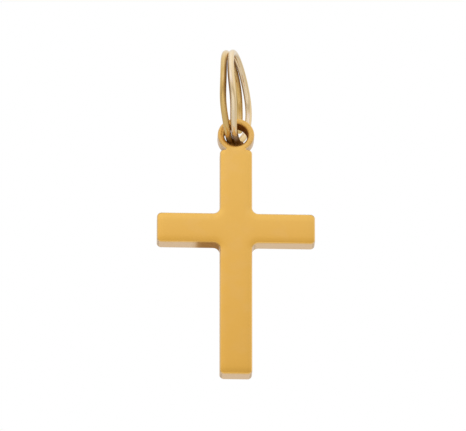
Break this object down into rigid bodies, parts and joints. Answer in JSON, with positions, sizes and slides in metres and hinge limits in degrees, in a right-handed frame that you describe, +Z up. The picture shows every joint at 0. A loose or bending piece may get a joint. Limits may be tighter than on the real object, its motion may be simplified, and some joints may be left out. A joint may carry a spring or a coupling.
{
  "type": "cross pendant",
  "caption": "Small flat polished cross with rounded edges and an eyelet, hanging freely on a split ring that a neck chain passes through.",
  "frame": {"origin": "inside top of the split ring, where a neck chain bears", "axes": "+Z up to the chain, -Y out of the cross's face, +X to the viewer's right; the cross's arms run along X"},
  "size_m": [0.012, 0.0075, 0.0271],
  "materials": {
    "polished_gold": "polished gold plating",
    "ring_gold": "polished pale gold plating"
  },
  "bodies": {
    "ring": {"split_ring": "ring_gold"},
    "cross": {"cross": "polished_gold"}
  },
  "joints": [
    {"name": "cross_swing", "type": "hinge", "parent": "ring", "child": "cross", "pos_m": [0, 0, -0.00658], "axis": [0, 1, 0], "range_deg": [-150, 150]}
  ]
}
